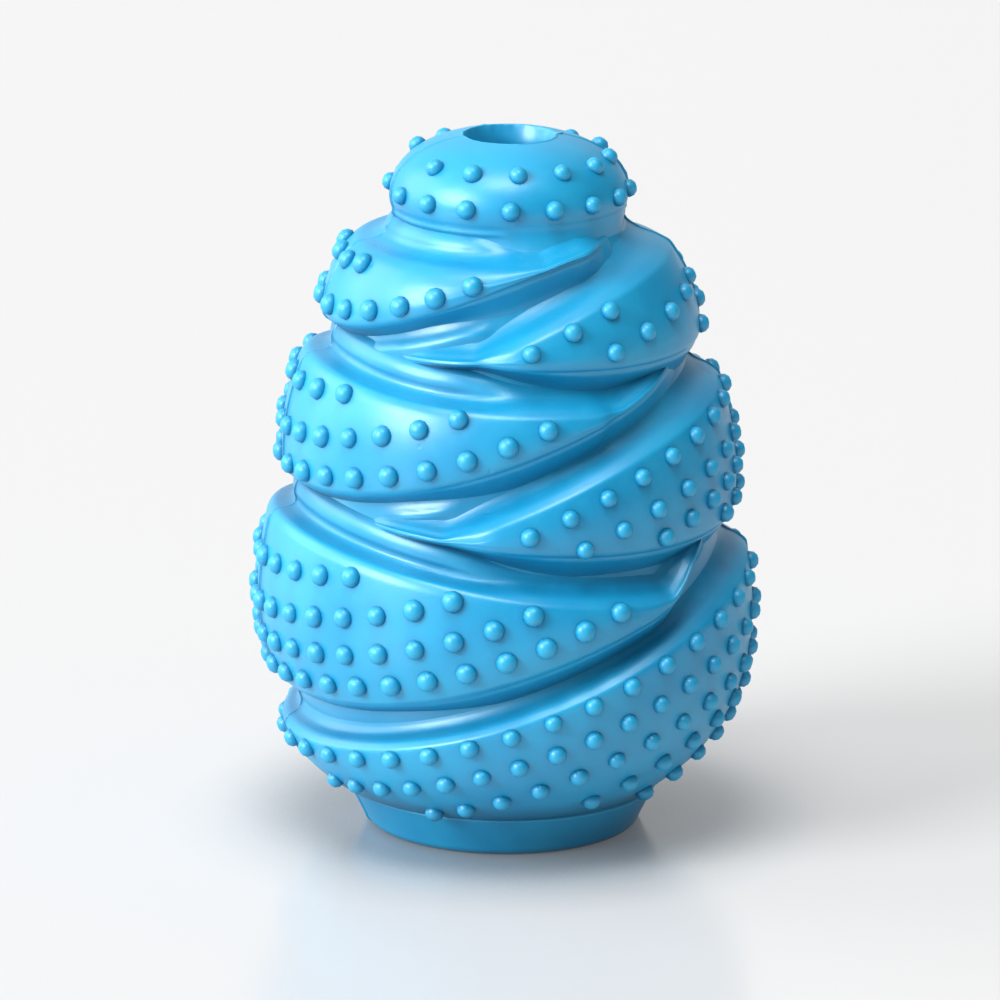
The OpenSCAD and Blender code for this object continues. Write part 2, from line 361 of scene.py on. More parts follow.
# %% [markdown]
# The world is a white room that is darker on the right. The camera sees it plain white. Its light
# fades a little towards the right, and its reflection in the gloss fades almost to nothing, so
# that the right side of the toy keeps its deep blue.

# %% Make the world
WORLD_LEVEL = 0.58
ROOM_DIM = 0.04
ROOM_SHADE = 0.72
WHITE_SIDE = (-0.87, 0.5, 0.0)
ROOM_RANGE = (-0.7, 0.5)

air = Paint("world", "worlds")
way = air.node("ShaderNodeTexCoord", {}, out="Generated")
side = air.node("ShaderNodeVectorMath", {"operation": "DOT_PRODUCT"}, way, WHITE_SIDE, out="Value")
white = side.step_up(*ROOM_RANGE)
room = ROOM_DIM + (1 - ROOM_DIM) * white
shade = WORLD_LEVEL * (ROOM_SHADE + (1 - ROOM_SHADE) * white)
camera, gloss, through = air.rays()
plain = air.node("ShaderNodeMath", {"operation": "MAXIMUM"}, camera, through)
strength = plain + (1 - plain) * (gloss * room + (1 - gloss) * shade)
glow = air.node("ShaderNodeBackground", {}, Strength=strength)
air.node("ShaderNodeOutputWorld", {}, Surface=glow)
bpy.context.scene.world = air.material
print("world ready")

# %% [markdown]
# The bands lie on an egg. Its radius at a height comes from one short formula with a power for
# the part above the belly and one for the part below. The groove floors and the chamber lie a
# fixed depth inside it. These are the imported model's own rules, with lengths in metres.

# %% Describe the egg
BELLY_SHARE = 0.328
EGG_TOP = FOOT_H + 1.083 * SPAN
EGG_BOTTOM = FOOT_H - 0.073 * SPAN
BELLY_Z = FOOT_H + BELLY_SHARE * SPAN
EGG_UPPER = (1.4, 0.3)
EGG_LOWER = (2.4, 0.42)


def fullness(t, powers):
    return (1 - t ** powers[0]) ** powers[1]


def egg_r(z):
    if z > BELLY_Z:
        return BELLY_R * fullness((z - BELLY_Z) / (EGG_TOP - BELLY_Z), EGG_UPPER)
    return BELLY_R * fullness((BELLY_Z - z) / (BELLY_Z - EGG_BOTTOM), EGG_LOWER)


def floor_r(z):
    return egg_r(z) - GROOVE_DEPTH


def at_share(share):
    return FOOT_H + share * SPAN


print("egg radius at the neck", round(egg_r(NECK_Z), 4))

# %% [markdown]
# Moulded surfaces are swept: a closed outline goes round the toy. Two helpers do this. One draws
# a smooth line through given points. The other joins a list of rings into one closed skin. The
# mould's two halves meet in a fine seam on the left and on the right, so every sweep gets extra
# rings there and a small ridge.

# %% Make the sweep helpers
SEAM_STEPS = [-0.9, -0.35, -0.19, -0.17, -0.13, -0.11, 0.0, 0.11, 0.13, 0.17, 0.19, 0.35, 0.9]
FIN_THICK = 0.15 * MM
FIN_LEFT = 0.28 * MM
FIN_RIGHT = 0.45 * MM
FIN_POWER = 14
TURN_STEP = 1.6
WELD = 0.001 * MM
# A sweep that goes all the way round starts at the front and stops just short of it
ROUND = (-90, 269.9)


def smooth_line(points, per_span):
    """Catmull-Rom line through points (r, z)."""
    rows = np.array(points, float)
    ends = np.vstack([2 * rows[0] - rows[1], rows, 2 * rows[-1] - rows[-2]])
    line = []
    for i in range(1, len(ends) - 2):
        a, b, c, d = ends[i - 1], ends[i], ends[i + 1], ends[i + 2]
        for k in range(per_span):
            t = k / per_span
            line.append(0.5 * (2 * b + (c - a) * t + (2 * a - 5 * b + 4 * c - d) * t * t
                               + (3 * b - a - 3 * c + d) * t ** 3))
    line.append(rows[-1])
    return [tuple(p) for p in line]


def ease(t):
    t = min(1.0, max(0.0, t))
    return t * t * (3 - 2 * t)


def between(turn, rise, fall):
    """0, then 1 after the turns of rise, then 0 after the turns of fall, with soft ends."""
    return (ease((turn - rise[0]) / (rise[1] - rise[0]))
            * ease((fall[1] - turn) / (fall[1] - fall[0])))


def smooth_at(points, x):
    """Smooth curve through points (x, y), read at x."""
    xs, ys = [p[0] for p in points], [p[1] for p in points]
    slopes = np.gradient(ys, xs)
    i = min(max(int(np.searchsorted(xs, x)) - 1, 0), len(xs) - 2)
    wide = xs[i + 1] - xs[i]
    t = (x - xs[i]) / wide
    rise = (2 * t ** 3 - 3 * t * t + 1) * ys[i] + (3 * t * t - 2 * t ** 3) * ys[i + 1]
    return rise + wide * ((t ** 3 - 2 * t * t + t) * slopes[i] + (t ** 3 - t * t) * slopes[i + 1])


def seam_height(away, angle):
    """Height of the mould's fin at a distance from the parting plane, on its left or right."""
    tall = FIN_LEFT if math.cos(math.radians(angle)) < 0 else FIN_RIGHT
    return tall * math.exp(-(away / FIN_THICK) ** FIN_POWER)


def seam_turns(low, high, seams, radius):
    """Angles from low to high, close together near each seam."""
    count = max(2, round((high - low) / TURN_STEP))
    even = [low + (high - low) * i / count for i in range(count + 1)]
    close = [math.degrees(s * MM / radius) for s in SEAM_STEPS]
    reach = close[-1] * 1.6
    kept = [t for t in even if all(abs(t - s) > reach for s in seams)]
    kept += [s + c for s in seams for c in close if low <= s + c <= high]
    return sorted(kept)


def join_rings(name, rings, closed):
    """One skin through rings of points, closed to itself or capped at both ends."""
    n, m = len(rings[0]), len(rings)
    points = [p for ring in rings for p in ring]
    faces = []
    for i in range(m if closed else m - 1):
        a, b = i * n, (i + 1) % m * n
        faces += [(a + j, a + (j + 1) % n, b + (j + 1) % n, b + j) for j in range(n)]
    if not closed:
        faces.append(tuple(range(n))[::-1])
        faces.append(tuple((m - 1) * n + j for j in range(n)))
    obj = new_mesh(name, points, faces)
    clean = bmesh.new()
    clean.from_mesh(obj.data)
    bmesh.ops.remove_doubles(clean, verts=clean.verts, dist=WELD)
    bmesh.ops.recalc_face_normals(clean, faces=clean.faces)
    clean.to_mesh(obj.data)
    clean.free()
    obj.data.shade_smooth()
    return obj


def spin(name, outline, radius, swell=None):
    """Closed outline of (r, z, outside) spun all the way round, with the seam on its outside.

    The function swell gives what is added to the radius at a turn, radius and height.
    """
    turns = seam_turns(*ROUND, (0, 180), radius)
    rings = []
    for turn in turns:
        away = min(abs(turn), abs(turn - 180)) * math.pi / 180
        ring = []
        for r, z, outside in outline:
            rr = r + (seam_height(away * r, turn) if outside else 0)
            rr += swell(turn, r, z) if swell else 0
            ring.append((rr * math.cos(math.radians(turn)), rr * math.sin(math.radians(turn)), z))
        rings.append(ring)
    return join_rings(name, rings, True)


print("sweep helpers ready")

# %% [markdown]
# The core carries everything: its outside is the floor of the grooves, and its inside is the
# treat chamber, which shows through the two holes. Two soft folds run along grooves, and on the
# right of the front a wall fills the crease under the crown. The foot below is a plain ring with
# a rounded edge, slightly drawn in towards the ground.

# %% Make the core and the foot
CORE_STEPS = 150
# Each fold: turns and height shares along it, half width and height in millimetres
FOLDS = [
    (((103, 0.866), (113, 0.855), (124, 0.839), (135, 0.824), (149, 0.808), (160, 0.799)),
     1.3, 0.6),
    (((110, 0.578), (118, 0.563), (127, 0.552), (137, 0.543)), 1.1, 0.55),
]
FOLD_ENDS = 9.0
NECK_WALL = LIP_R - 0.3 * MM
NECK_WALL_H = 2.6 * MM
NECK_WALL_TURNS = ((12, 32), (88, 112))
CREASE_SHARE = 0.25
CHAMBER_CORNER = 0.93
BORE_EDGE = 0.8 * MM
FOOT_LAP = 1.5 * MM


def mark(points, outside):
    return [(r, z, outside) for r, z in points]


def from_right(angle):
    """Turn from the right parting line, the same in front and behind."""
    return math.degrees(math.acos(math.cos(math.radians(angle))))


def neck_fill(turn, r, z, wall=NECK_WALL):
    """The crease under the crown is shallow, and on the right of the front a wall fills it."""
    if z < NECK_Z - NECK_WALL_H or r > wall:
        return 0
    share = CREASE_SHARE + (1 - CREASE_SHARE) * between(turn, *NECK_WALL_TURNS)
    return share * (wall - r)


def fold_height(angle, r, z):
    """Height of the soft folds that run along two grooves, the same in front and behind."""
    if r < floor_r(z) - 0.1 * MM:
        return 0
    turn = from_right(angle)
    total = neck_fill(turn, r, z)
    for path, half, tall in FOLDS:
        inside = min(turn - path[0][0], path[-1][0] - turn)
        if inside > 0:
            off = (z - at_share(smooth_at(path, turn))) / (half * MM)
            total += tall * MM * ease(inside / FOLD_ENDS) * max(0.0, 1 - off * off) ** 1.5
    return total


levels = [FOOT_H + (NECK_Z - FOOT_H) * i / CORE_STEPS for i in range(CORE_STEPS + 1)]
chamber = [(egg_r(z) - GROOVE_DEPTH - WALL, z) for z in levels if z >= FLOOR_HIGH[2]]
core_outline = mark([(floor_r(z), z) for z in levels], True)
core_outline += mark(chamber[::-1], False)
core_outline += mark([
    (chamber[0][0] * CHAMBER_CORNER, FLOOR_HIGH[2]), (BASE_HOLE_R + BORE_EDGE, FLOOR_HIGH[2]),
    (BASE_HOLE_R, FLOOR_HIGH[2] - BORE_EDGE), (BASE_HOLE_R, FOOT_H)], False)
core = spin("core_wall", core_outline, BELLY_R, fold_height)
foot_side = smooth_line([
    (FOOT_BASE_R - 1.2 * MM, 0), (FOOT_BASE_R, 0.1 * MM), (FOOT_BASE_R + 0.8 * MM, 0.7 * MM),
    (FOOT_BASE_R + 1.4 * MM, 2.0 * MM), (FOOT_BASE_R + 2.4 * MM, 4.0 * MM),
    (FOOT_TOP_R, FOOT_H)], 5)
foot_outline = mark([(BASE_HOLE_R + BORE_EDGE, 0)], False) + mark(foot_side, True)
foot_outline += mark([(FOOT_TOP_R - 2 * FOOT_LAP, FOOT_H + FOOT_LAP),
                      (BASE_HOLE_R, FOOT_H + FOOT_LAP), (BASE_HOLE_R, BORE_EDGE)], False)
foot = spin("foot_rim", foot_outline, FOOT_TOP_R)
print("core points", len(core.data.vertices), "foot points", len(foot.data.vertices))

# %% [markdown]
# The crown is a dome on a soft lip that curves in to the neck. On the right of the front the neck
# widens downwards and runs into the highest band. The top hole was trimmed after moulding, so the
# rim is a thin, slightly ragged edge with a notch on the right. The throat narrows below it.

# %% Make the crown
LIP_Z = NECK_Z + 0.2 * (HEIGHT - NECK_Z)
CROWN_POWERS = (2.3, 0.4)
CROWN_RISE = 1.04 * (HEIGHT - LIP_Z)
CROWN_STEPS = 30
LIP_ROUND = 0.3 * MM
LIP_FADE = 2.4 * MM
RAGGED = 0.05 * MM
# Waves round the rim: how many, how tall against the first, and where they start
RIM_WAVES = ((7, 1.0, 0), (16, 0.8, 1), (29, 0.6, 2))
RIM_WIDE = 0.3 * MM
RIM_DEEP = 0.2 * MM
NOTCH = 0.5 * MM
NOTCH_TURN = 5
FLARE = 1.7 * MM
FLARE_TOP = NECK_Z + 1.6 * MM
FLARE_H = 3.6 * MM
FLARE_POWER = 1.6
FLARE_TURNS = ((46, 70), (86, 142))
NECK_SKIN = 0.5 * MM
OVER_CORE = 0.04 * MM
ROOF_STEPS = 9


def crown_r(z):
    return LIP_R * fullness((z - LIP_Z) / CROWN_RISE, CROWN_POWERS)


neck_r = floor_r(NECK_Z)
dome = []
for i in range(CROWN_STEPS):
    z = LIP_Z + (HEIGHT - LIP_Z) * math.sin(math.pi / 2 * i / CROWN_STEPS)
    soft = LIP_ROUND * max(0.0, 1 - (z - LIP_Z) / LIP_FADE) ** 2
    dome.append((max(crown_r(z), HOLE_R + 0.2 * MM) - soft, z))
under = smooth_line([
    (neck_r - 0.3 * MM, NECK_Z - 2.4 * MM), (neck_r - 0.15 * MM, NECK_Z - 1.2 * MM),
    (neck_r, NECK_Z - 0.2 * MM),
    (neck_r + 0.15 * MM, NECK_Z + 0.45 * MM), (neck_r + 0.5 * MM, NECK_Z + 1.0 * MM),
    (LIP_R - 0.62 * MM, LIP_Z - 0.75 * MM), dome[0]], 6)
crown_outline = mark(under[:-1] + dome, True)
crown_outline += mark([
    (HOLE_R + 0.1 * MM, HEIGHT), (HOLE_R, HEIGHT - 0.12 * MM),
    (HOLE_R - 0.15 * MM, HEIGHT - 0.5 * MM), (HOLE_R - 0.5 * MM, HEIGHT - 1.3 * MM),
    (THROAT_R, HEIGHT - FUNNEL_H), (THROAT_R, HEIGHT - CROWN_T)], False)
roof_r = egg_r(NECK_Z) - GROOVE_DEPTH - WALL
for i in range(1, ROOF_STEPS + 1):
    a = math.pi / 2 * i / ROOF_STEPS
    crown_outline.append((THROAT_R + (roof_r - THROAT_R) * math.sin(a),
                          NECK_Z + (HEIGHT - CROWN_T - NECK_Z) * math.cos(a), False))
crown_outline.append((roof_r, NECK_Z - 1.0 * MM, False))


def crown_swell(angle, r, z):
    """The filled neck, and the uneven trimmed edge of the top hole with a notch on the right."""
    if r > neck_r - NECK_SKIN and z < LIP_Z:
        turn = from_right(angle)
        flare = FLARE * between(turn, *FLARE_TURNS)
        wide = flare * min(1.0, max(0.0, (FLARE_TOP - z) / FLARE_H)) ** FLARE_POWER
        return neck_fill(turn, r, z, NECK_WALL + OVER_CORE) + wide
    if r < HOLE_R + RIM_WIDE and z > HEIGHT - RIM_DEEP:
        a = math.radians(angle)
        rough = sum(tall * math.sin(count * a + start) for count, tall, start in RIM_WAVES)
        away = min(angle % 360, -angle % 360)
        return RAGGED * rough + NOTCH * math.exp(-(away / NOTCH_TURN) ** 2)
    return 0


crown = spin("crown_dome", crown_outline, LIP_R, crown_swell)
print("crown points", len(crown.data.vertices))

# %% [markdown]
# A band is swept from one tip round the wide end to the other. Its edges rise and fall by a
# rule: four heights, at the wide end, an eighth turn on, a quarter turn on and at the tip. Past
# the tip a low ridge, the tail, goes on along the groove and dies out.
# Under the crisp lower edge the flank runs into the groove, steep on the left and long on the
# right, where the grooves are deep V shapes. Above the upper edge a shelf rises out of the next
# groove: on the left a hollow and a soft roll, on the right a slope with a crisp crest.
# Points below are in millimetres from the edge: inwards, then upwards.

# %% Describe the bands
LEFT, RIGHT = 180, 0
KNOT_TURNS = (0, 45, 90)
# Each band: side of its wide end, turn of its tip, shares of its upper edge and its lower edge
BANDS = {
    "upper_left_band": (LEFT, 130, (0.967, 0.967, 0.971, 0.982), (0.834, 0.873, 0.956, 0.983)),
    "upper_right_band": (RIGHT, 110, (0.960, 0.942, 0.870, 0.821), (0.798, 0.797, 0.806, 0.811)),
    "middle_left_band": (LEFT, 112, (0.774, 0.755, 0.742, 0.735), (0.561, 0.584, 0.669, 0.721)),
    "middle_right_band": (RIGHT, 116, (0.728, 0.694, 0.595, 0.526), (0.495, 0.490, 0.501, 0.516)),
    "lower_left_band": (LEFT, 124, (0.499, 0.474, 0.430, 0.410), (0.197, 0.217, 0.302, 0.391)),
    "base_band": (RIGHT, 180, (0.423, 0.361, 0.236, 0.124), (0.0, 0.0, 0.0, 0.0)),
}
TIP_T = 0.8 * MM
TIP_THINS = 10
# Over how many turns before the tip a band falls to its tail
TIP_TURNS = {"upper_left_band": 20.0, "upper_right_band": 16.0, "middle_left_band": 6.0,
             "middle_right_band": 14.0, "lower_left_band": 6.0}
# Turns and height shares along the tails, and how much of the band's depth a tail starts with
TAILS = {
    "upper_left_band": ((136, 0.99), (142, 0.995)),
    "upper_right_band": ((123, 0.807), (138, 0.802), (150, 0.796)),
    "middle_left_band": ((120, 0.738), (130, 0.757), (138, 0.770), (150, 0.780), (166, 0.782)),
    "middle_right_band": ((122, 0.519), (132, 0.521), (150, 0.521)),
    "lower_left_band": ((127, 0.413), (131, 0.440), (139, 0.472), (150, 0.482), (160, 0.484)),
}
TAIL_LIFTS = {"upper_left_band": 0.3, "upper_right_band": 0.6, "middle_left_band": 0.8,
              "middle_right_band": 0.6, "lower_left_band": 0.9}
TAIL_LEAST = 0.01
BACK = 0.5 * MM
HIDDEN_BACK = 0.6 * MM
FULL_EDGES = 3.3 * MM
BULGE = 0.4 * MM
BULGE_FROM = 8.0 * MM
TUCK_SHARE = 0.07
# Outlines of the edges: inwards and up from the edge, in millimetres
FLANK = [(-4.3, -2.9), (-4.0, -2.35), (-3.45, -1.8), (-2.6, -1.25), (-1.7, -0.75), (-0.95, -0.35)]
LOWER_EDGE = [(-0.62, -0.12), (-0.38, 0.12), (-0.2, 0.45), (-0.07, 0.95)]
ROLL = [(-0.04, -2.0), (-0.12, -1.3), (-0.3, -0.75), (-0.62, -0.3), (-1.1, -0.1), (-1.9, 0.0),
        (-2.8, 0.2), (-3.45, 0.65), (-3.5, 1.3), (-3.2, 2.0), (-3.1, 2.8), (-3.3, 3.7), (-3.8, 4.4),
        (-4.3, 5.0)]
CREST = [(-0.02, -2.0), (-0.03, -1.4), (-0.07, -0.95), (-0.26, -0.6), (-0.66, -0.22), (-1.1, 0.14),
         (-1.65, 0.46), (-2.25, 0.75), (-2.85, 1.1), (-3.3, 1.5), (-3.7, 2.0), (-3.95, 2.5),
         (-4.2, 3.1), (-4.3, 3.7)]
BASE_UNDER = [(-4.3, -0.6), (-4.1, 0.0), (-0.9, 0.0), (-0.45, 0.08), (-0.2, 0.35), (-0.06, 0.9)]
FLANK_GROWS = 1.0
FLANK_TURNS = (48, 86)
FLANK_TIP = 0.5
FLANK_TIP_TURNS = 40
ROLL_FADES = (60, 88)


def edge_z(shares, turn, tip):
    """Height of an edge: the cubic in the turn's cosine that passes through its four heights."""
    knots = [math.cos(math.radians(t)) for t in KNOT_TURNS + (tip,)]
    c = math.cos(math.radians(min(abs(turn), tip)))
    total = 0.0
    for i, value in enumerate(shares):
        others = knots[:i] + knots[i + 1:]
        total += value * math.prod((c - k) / (knots[i] - k) for k in others)
    return at_share(total)


def band_edges(name, turn):
    side, tip, upper, lower = BANDS[name]
    turn = abs(turn)
    if turn > tip:
        low = at_share(smooth_at(((tip, lower[3]),) + TAILS[name], turn))
        thin = 1 - (turn - tip) / TIP_THINS
        return low, low + max(TIP_T, (upper[3] - lower[3]) * SPAN * thin)
    low = edge_z(lower, turn, tip)
    return low, max(edge_z(upper, turn, tip), low + TIP_T)


def face_r(z, low, high):
    """Radius of a band's face: it bulges a little and is tucked in towards its lower edge."""
    t = min(1.0, max(0.0, (z - low) / (high - low)))
    bulge = BULGE * min(1.0, (high - low) / BULGE_FROM) * math.sin(math.pi * t)
    return egg_r(z) + bulge - TUCK_SHARE * (high - low) * (1 - t) ** 3


def flank_scale(name, turn):
    """How tall the flank below a band is: it grows from the left of the toy to the right."""
    side, tip = BANDS[name][:2]
    if side == LEFT:
        start, end = FLANK_TURNS
        return 1 + FLANK_GROWS * ease((abs(turn) - start) / (end - start))
    near_tip = ease((tip + 2 - abs(turn)) / FLANK_TIP_TURNS)
    return FLANK_TIP + (1 + FLANK_GROWS - FLANK_TIP) * near_tip


def band_section(name, turn):
    """Outline of a band at a turn: up its outside from the groove, then down its hidden back."""
    low, high = band_edges(name, turn)
    squeeze = min(1.0, (high - low) / FULL_EDGES)

    def seat(edge, inwards, up):
        z = edge + up * MM * (squeeze if (up > 0) == (edge == low) else 1)
        return (face_r(z, low, high) + inwards * MM, z)

    if name == "base_band":
        points = [seat(low, *row) for row in BASE_UNDER]
    else:
        grow = flank_scale(name, turn)
        points = [seat(low, r, z * grow) for r, z in FLANK]
        points += [seat(low, *row) for row in LOWER_EDGE]
    crest = 1.0
    if BANDS[name][0] == LEFT:
        crest = ease((abs(turn) - ROLL_FADES[0]) / (ROLL_FADES[1] - ROLL_FADES[0]))
    top = [seat(high, r * (1 - crest) + rr * crest, z * (1 - crest) + zz * crest)
           for (r, z), (rr, zz) in zip(ROLL, CREST)]
    a, b = points[-1][1], top[0][1]
    middle = [a + (b - a) * i / 6 for i in range(1, 6)]
    points += [(face_r(z, low, high), z) for z in middle] + top
    line = smooth_line(points, 3)
    hidden = [line[-1][1] + (line[0][1] - line[-1][1]) * i / 5 for i in range(1, 5)]
    return line, [(floor_r(z) - HIDDEN_BACK, z) for z in hidden]


def tip_lift(name, turn):
    """1 along the band. It falls at the tip, and from there a low ridge goes on and dies out."""
    tip, first = BANDS[name][1], TAIL_LIFTS[name]
    if abs(turn) <= tip:
        return 1 - (1 - first) * (1 - ease((tip - abs(turn)) / TIP_TURNS[name]))
    share = (abs(turn) - tip) / (TAILS[name][-1][0] - tip)
    return first * (1 - ease(share)) + TAIL_LEAST


def make_band(name):
    side, tip = BANDS[name][:2]
    closed = tip == 180
    reach = tip if closed else TAILS[name][-1][0]
    seams = (0, 180) if closed else (0,)
    ends = ROUND if closed else (-reach, reach)
    rings = []
    for turn in seam_turns(*ends, seams, BELLY_R):
        near = min(abs(turn - s) for s in seams) * math.pi / 180
        lift = 1.0 if closed else tip_lift(name, turn)
        line, hidden = band_section(name, min(turn, 360 - turn) if closed else turn)
        ring = []
        for r, z in line:
            base = floor_r(z) - BACK
            rr = base + (r - base) * lift + seam_height(near * r, side + turn)
            ring.append((rr, z))
        ring += hidden
        a = math.radians(side + turn)
        rings.append([(r * math.cos(a), r * math.sin(a), z) for r, z in ring])
    return join_rings(name.replace("band", "crescent"), rings, closed)


bands = {name: make_band(name) for name in BANDS}
for name, obj in bands.items():
    print(name, len(obj.data.polygons), "faces")

# %% [markdown]
# A row of nubs follows an edge of its band: the lower one on the left, the upper one on the
# right. We walk along the row in even steps and keep each place that has rubber all round it.
# Each place also gets the direction that its nub points in, square to the band's face.

# %% Work out where the nubs stand
# Each row: inset, drift and pitch in millimetres, angle of the first nub, nubs in half the row
ROWS = {
    "upper_left_band": [(8.6, 0, 4.8, 7, 3), (2.4, -0.6, 5.5, 7.4, 6)],
    "upper_right_band": [(0.6, 1.8, 6.4, 66, 3), (4.4, 4.4, 6.3, 11.7, 5),
                         (9, 0, 6.3, 3.8, 1), (11.6, 0, 6.3, 12.5, 1)],
    "middle_left_band": [(13.9, 0.6, 6.4, 5.9, 3), (7.1, 3.4, 5.8, 3.9, 7), (2, 1.8, 6, 6.7, 9)],
    "middle_right_band": [(1.5, 2.8, 6.1, 8.5, 9), (7.1, 2.6, 6.25, 4.9, 8),
                          (10.9, 4.6, 5.65, 9, 6), (15.5, 3.5, 5.7, 10, 3)],
    "lower_left_band": [(18.2, 2.6, 5.8, 2.9, 5), (11.6, 5.2, 5.75, 1.6, 8),
                        (6.8, 3.5, 5.8, 2.8, 10), (2.6, 2, 5.85, 4.5, 12)],
    "base_band": [(2, 0.1, 6.2, 10.4, 17), (7.9, -1.3, 5.55, 7.7, 17), (13.8, -2.4, 5.75, 5.4, 13),
                  (17.2, 6.1, 5.6, 7.6, 9), (20.5, 24, 4.5, 9.7, 6)],
}
# Each row of the crown: height share, angle of the first nub, step in degrees, nubs in half of it
CROWN_ROWS = ((0.748, 15.2, 26.5, 6), (0.371, 13.1, 21.5, 8))
SLOPE_STEP = 0.2 * MM
NUB_SEAM = 0.3 * MM
NUB_MARGIN = 1.1 * MM
NUB_D = 2.7 * MM


def row_z(name, row, turn):
    side, tip = BANDS[name][:2]
    away = (row[0] + row[1] * turn / tip) * MM
    low, high = band_edges(name, turn)
    return low + away if side == LEFT else high - away


def arc_r(z):
    return egg_r(min(max(z, FOOT_H), NECK_Z))


def stand_at(angle, radius_at, z):
    """Place and outward direction on a surface of revolution."""
    a = math.radians(angle)
    slope = (radius_at(z + SLOPE_STEP) - radius_at(z - SLOPE_STEP)) / (2 * SLOPE_STEP)
    out = Vector((math.cos(a), math.sin(a), -slope)).normalized()
    r = radius_at(z)
    return (r * math.cos(a), r * math.sin(a), z), tuple(out)


def band_places(name):
    side, tip = BANDS[name][:2]
    found = []
    for row in ROWS[name]:
        pitch, start, count = row[2:]
        clear = math.asin((NUB_D / 2 + NUB_SEAM) / arc_r(row_z(name, row, start)))
        turn = max(start, math.degrees(clear))
        for _ in range(count):
            if turn > tip:
                break
            z = row_z(name, row, turn)
            low, high = band_edges(name, turn)
            if low + NUB_MARGIN < z < high - NUB_MARGIN:
                def radius_at(h, low=low, high=high):
                    return face_r(h, low, high)
                found += [stand_at(side + half * turn, radius_at, z) for half in (-1, 1)]
            climb = row_z(name, row, turn + 1) - z
            turn += pitch * MM / math.hypot(arc_r(z) * math.pi / 180, climb)
    return found


places = {name: band_places(name) for name in BANDS}
places["crown"] = []
for share, start, step, count in CROWN_ROWS:
    z = NECK_Z + share * (HEIGHT - NECK_Z)
    for i in range(count):
        angle = start + i * step
        places["crown"] += [stand_at(half * angle, crown_r, z) for half in (-1, 1)]
print("nubs", {name: len(rows) for name, rows in places.items()})

# %% [markdown]
# Geometry Nodes put a nub on each place. The nub is a sphere of few faces whose rings are moved
# to a profile: a round top, a steep side, a soft fillet at the root and a closed base inside
# the band. Random values with a fixed seed make each nub a little different.

# %% Build the tree that makes the nubs
NUB_LEFT_D = 2.9 * MM
NUB_RIGHT_D = 2.6 * MM
NUB_H = 1.3 * MM
NUB_UNEVEN = 0.05
FIRST_SEED = 11
# Points of the nub: share of the sphere's height, radius and height against the nub's own
NUB_PROFILE = [(0.0, 0.0, -0.25), (0.0955, 0.9, -0.25), (0.3455, 1.05, 0.0),
               (0.6545, 0.9, 0.55), (0.9045, 0.52, 0.91), (1.0, 0.0, 1.0)]


def add_node(tree, kind, settings, **values):
    made = tree.nodes.new(kind)
    for key, value in settings.items():
        setattr(made, key, value)
    for key, value in values.items():
        socket = made.inputs[key.replace("_", " ")]
        if isinstance(value, bpy.types.NodeSocket):
            tree.links.new(value, socket)
        else:
            socket.default_value = value
    return made


def set_stops(node, stops):
    """Give a curve node its points, as straight lines between them."""
    curve = node.mapping.curves[0]
    while len(curve.points) < len(stops):
        curve.points.new(0.5, 0.5)
    for point, stop in zip(curve.points, stops):
        point.location = stop
        point.handle_type = "VECTOR"
    node.mapping.update()


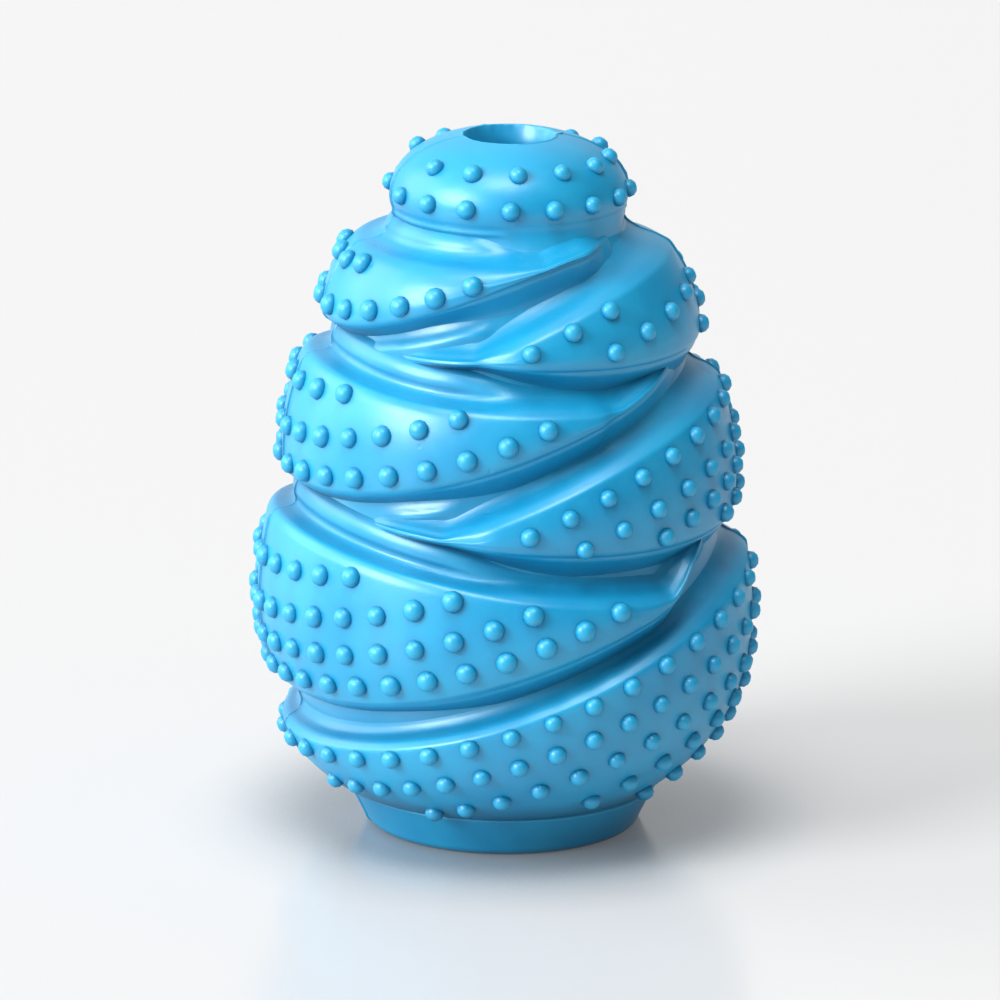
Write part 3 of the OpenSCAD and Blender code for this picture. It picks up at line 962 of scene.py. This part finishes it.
def make_nub_tree():
    tree = bpy.data.node_groups.new("nub_rows", "GeometryNodeTree")
    face = tree.interface
    face.new_socket("Places", in_out="INPUT", socket_type="NodeSocketGeometry")
    for label in ("Nub width", "Nub height", "Unevenness"):
        face.new_socket(label, in_out="INPUT", socket_type="NodeSocketFloat")
    face.new_socket("Seed", in_out="INPUT", socket_type="NodeSocketInt")
    face.new_socket("Rubber", in_out="INPUT", socket_type="NodeSocketMaterial")
    face.new_socket("Nubs", in_out="OUTPUT", socket_type="NodeSocketGeometry")
    given = tree.nodes.new("NodeGroupInput").outputs
    ball = add_node(tree, "GeometryNodeMeshUVSphere", {}, Segments=12, Rings=5, Radius=1.0)
    place = tree.nodes.new("GeometryNodeInputPosition")
    parts = add_node(tree, "ShaderNodeSeparateXYZ", {}, Vector=place.outputs[0])
    share = add_node(tree, "ShaderNodeMapRange", {}, Value=parts.outputs["Z"])
    share.inputs["From Min"].default_value = -1.0
    wide = add_node(tree, "ShaderNodeFloatCurve", {}, Value=share.outputs[0])
    tall = add_node(tree, "ShaderNodeFloatCurve", {}, Value=share.outputs[0])
    set_stops(wide, [(t, r / 2) for t, r, h in NUB_PROFILE])
    set_stops(tall, [(t, (h + 1) / 2) for t, r, h in NUB_PROFILE])
    flat = add_node(tree, "ShaderNodeCombineXYZ", {}, X=parts.outputs["X"], Y=parts.outputs["Y"])
    turned = tree.nodes.new("ShaderNodeVectorMath")
    turned.operation = "NORMALIZE"
    tree.links.new(flat.outputs[0], turned.inputs[0])

    def maths(operation, first, second):
        made = tree.nodes.new("ShaderNodeMath")
        made.operation = operation
        for socket, value in zip(made.inputs, (first, second)):
            if isinstance(value, bpy.types.NodeSocket):
                tree.links.new(value, socket)
            else:
                socket.default_value = value
        return made.outputs[0]

    reach = maths("MULTIPLY", wide.outputs[0], given["Nub width"])
    rise = maths("MULTIPLY", maths("MULTIPLY_ADD", tall.outputs[0], 2.0), given["Nub height"])
    rise.node.inputs[0].links[0].from_node.inputs[2].default_value = -1.0
    spread = tree.nodes.new("ShaderNodeVectorMath")
    spread.operation = "SCALE"
    tree.links.new(turned.outputs[0], spread.inputs[0])
    tree.links.new(reach, spread.inputs["Scale"])
    lifted = tree.nodes.new("ShaderNodeVectorMath")
    lifted.operation = "ADD"
    up = add_node(tree, "ShaderNodeCombineXYZ", {}, Z=rise)
    tree.links.new(spread.outputs[0], lifted.inputs[0])
    tree.links.new(up.outputs[0], lifted.inputs[1])
    nub = add_node(tree, "GeometryNodeSetPosition", {}, Geometry=ball.outputs["Mesh"],
                   Position=lifted.outputs[0])
    out = add_node(tree, "GeometryNodeInputNamedAttribute", {"data_type": "FLOAT_VECTOR"},
                   Name="out")
    aligned = add_node(tree, "FunctionNodeAlignRotationToVector", {"axis": "Z"},
                       Vector=out.outputs[0])
    random = add_node(tree, "FunctionNodeRandomValue", {"data_type": "FLOAT"},
                      Seed=given["Seed"])
    tree.links.new(maths("SUBTRACT", 1.0, given["Unevenness"]), random.inputs[2])
    tree.links.new(maths("ADD", 1.0, given["Unevenness"]), random.inputs[3])
    placed = add_node(tree, "GeometryNodeInstanceOnPoints", {}, Points=given["Places"],
                      Instance=nub.outputs[0], Rotation=aligned.outputs[0])
    tree.links.new(random.outputs[1], placed.inputs["Scale"])
    real = add_node(tree, "GeometryNodeRealizeInstances", {}, Geometry=placed.outputs[0])
    painted = add_node(tree, "GeometryNodeSetMaterial", {}, Geometry=real.outputs[0],
                       Material=given["Rubber"])
    smooth = add_node(tree, "GeometryNodeSetShadeSmooth", {}, Geometry=painted.outputs[0])
    last = tree.nodes.new("NodeGroupOutput")
    tree.links.new(smooth.outputs[0], last.inputs[0])
    return tree


nub_tree = make_nub_tree()
nub_inputs = {i.name: i.identifier for i in nub_tree.interface.items_tree if i.in_out == "INPUT"}
print("nub tree nodes", len(nub_tree.nodes))

# %% Make the nubs of each region
def make_nubs(name, rows, width, seed):
    mesh = bpy.data.meshes.new(name + "_places")
    mesh.from_pydata([row[0] for row in rows], [], [])
    outs = mesh.attributes.new("out", "FLOAT_VECTOR", "POINT")
    outs.data.foreach_set("vector", [v for row in rows for v in row[1]])
    obj = bpy.data.objects.new(name, mesh)
    bpy.context.collection.objects.link(obj)
    modifier = obj.modifiers.new("nub_rows", "NODES")
    modifier.node_group = nub_tree
    values = {"Nub width": width, "Nub height": NUB_H, "Unevenness": NUB_UNEVEN, "Seed": seed,
              "Rubber": rubbers["nub_rubber"]}
    for label, value in values.items():
        modifier[nub_inputs[label]] = value
    depsgraph = bpy.context.evaluated_depsgraph_get()
    made = bpy.data.meshes.new_from_object(obj.evaluated_get(depsgraph))
    obj.modifiers.remove(modifier)
    obj.data = made
    return obj


nubs = {}
for i, (name, rows) in enumerate(places.items()):
    width = NUB_LEFT_D if "left" in name else NUB_RIGHT_D
    label = name.replace("_band", "") + "_nub_rows"
    nubs[name] = make_nubs(label, rows, width, FIRST_SEED + i)
for obj in nubs.values():
    print(obj.name, len(obj.data.polygons), "faces")

# %% [markdown]
# Last, each piece gets its rubber, the place of its packed region, and the body it rides on.
# The toy has no moving part, so all pieces ride on the root.

# %% Hand the pieces over
def settle(piece, rubber, slot, *nodes):
    piece.data.materials.clear()
    piece.data.materials.append(rubbers[rubber])
    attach(piece, "root")
    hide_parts(*nodes)


settle(core, "groove_rubber", "groove_rubber", "core_lower", "core_middle", "core_upper",
       "chamber_floor")
settle(foot, "foot_rubber", "groove_rubber", "foot_ring")
settle(crown, "crown_rubber", "crown_rubber", "crown")
for name, obj in bands.items():
    settle(obj, "band_rubber", "band_rubber", name)
for name, obj in nubs.items():
    node = "crown_nubs" if name == "crown" else name.replace("_band", "_nubs")
    settle(obj, "nub_rubber", "nub_rubber", node)
